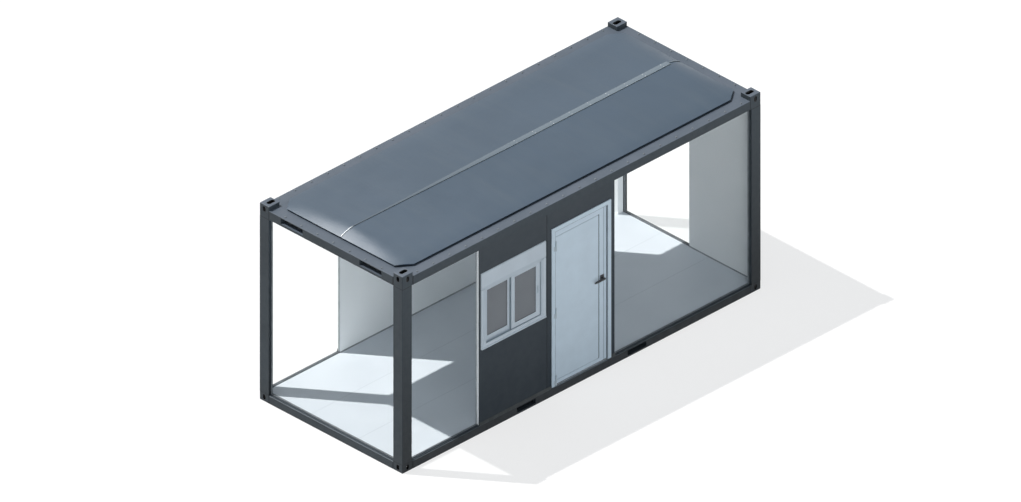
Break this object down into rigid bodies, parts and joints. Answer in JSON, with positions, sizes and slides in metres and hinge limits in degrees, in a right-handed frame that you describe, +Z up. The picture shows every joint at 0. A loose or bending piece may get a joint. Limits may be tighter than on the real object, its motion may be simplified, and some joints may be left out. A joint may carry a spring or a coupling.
{
  "type": "shipping container cabin",
  "caption": "Container-size steel-framed cabin with dark panels, shuttered window, hinged door, large glass bays, hipped roof sheet and lifting corner castings.",
  "frame": {"origin": "on the ground at the centre of the steel frame's plan", "axes": "+X along the front to the right, +Y from the front to the rear, +Z up"},
  "size_m": [6.058, 2.474, 2.808],
  "materials": {
    "steel_dark": "dark blue-grey satin paint",
    "interior_panel": "light grey coated sheet",
    "underfloor": "grey coated sheet",
    "floor_vinyl": "matt grey sheet flooring",
    "roof_sheet": "blue-grey satin coated sheet",
    "wall_panel": "dark blue-grey satin coated sheet",
    "clear_glass": "clear float glass",
    "channel": "dark grey powder coat",
    "pvc_white": "cool white window profile",
    "window_glass": "grey double glazing",
    "door_white": "cool white powder coat",
    "hinge_metal": "light grey powder coat",
    "handle_black": "black plastic over steel"
  },
  "bodies": {
    "cabin": {"base_casting_front_left": "steel_dark", "base_casting_rear_left": "steel_dark", "base_casting_front_right": "steel_dark", "base_casting_rear_right": "steel_dark", "roof_casting_front_left": "steel_dark", "roof_casting_rear_left": "steel_dark", "roof_casting_front_right": "steel_dark", "roof_casting_rear_right": "steel_dark", "corner_posts": "steel_dark", "corner_cover": "interior_panel", "base_rail_front": "steel_dark", "base_rail_rear": "steel_dark", "base_rail_left": "steel_dark", "base_rail_right": "steel_dark", "floor_cassette": "underfloor", "floor_deck": "floor_vinyl", "roof_rail_front": "steel_dark", "roof_rail_rear": "steel_dark", "roof_rail_left": "steel_dark", "roof_rail_right": "steel_dark", "roof_cassette": "interior_panel", "roof_sheet": "roof_sheet", "ridge_cap": "roof_sheet", "front_wall_window": "wall_panel", "front_wall_door_left": "wall_panel", "front_wall_door_right": "wall_panel", "front_wall_door_head": "wall_panel", "rear_wall_left": "wall_panel", "rear_wall_middle": "wall_panel", "rear_wall_right": "wall_panel", "right_wall": "wall_panel", "glass_front_left": "clear_glass", "glass_front_right": "clear_glass", "glass_rear_left": "clear_glass", "glass_rear_right": "clear_glass", "glass_left_end": "clear_glass", "glass_right_end": "clear_glass", "glazing_channels": "channel", "window_frame": "pvc_white", "window_shutter_box": "pvc_white", "window_sash_left": "pvc_white", "window_sash_right": "pvc_white", "window_panes": "window_glass", "door_frame": "door_white", "door_threshold": "channel", "hinge_frame_halves": "hinge_metal"},
    "door": {"door_leaf": "door_white", "hinge_leaf_halves": "hinge_metal", "handle_rosettes": "handle_black"},
    "lever": {"door_lever": "handle_black"}
  },
  "joints": [
    {"name": "door_hinge", "type": "hinge", "parent": "cabin", "child": "door", "pos_m": [-0.4379, -1.228, 1.23], "axis": [0, 0, -1], "range_deg": [0, 110]},
    {"name": "lever_turn", "type": "hinge", "parent": "door", "child": "lever", "pos_m": [0.3594, -1.219, 1.3], "axis": [0, -1, 0], "range_deg": [0, 40], "stiffness_Nm_per_rad": 1.2}
  ]
}
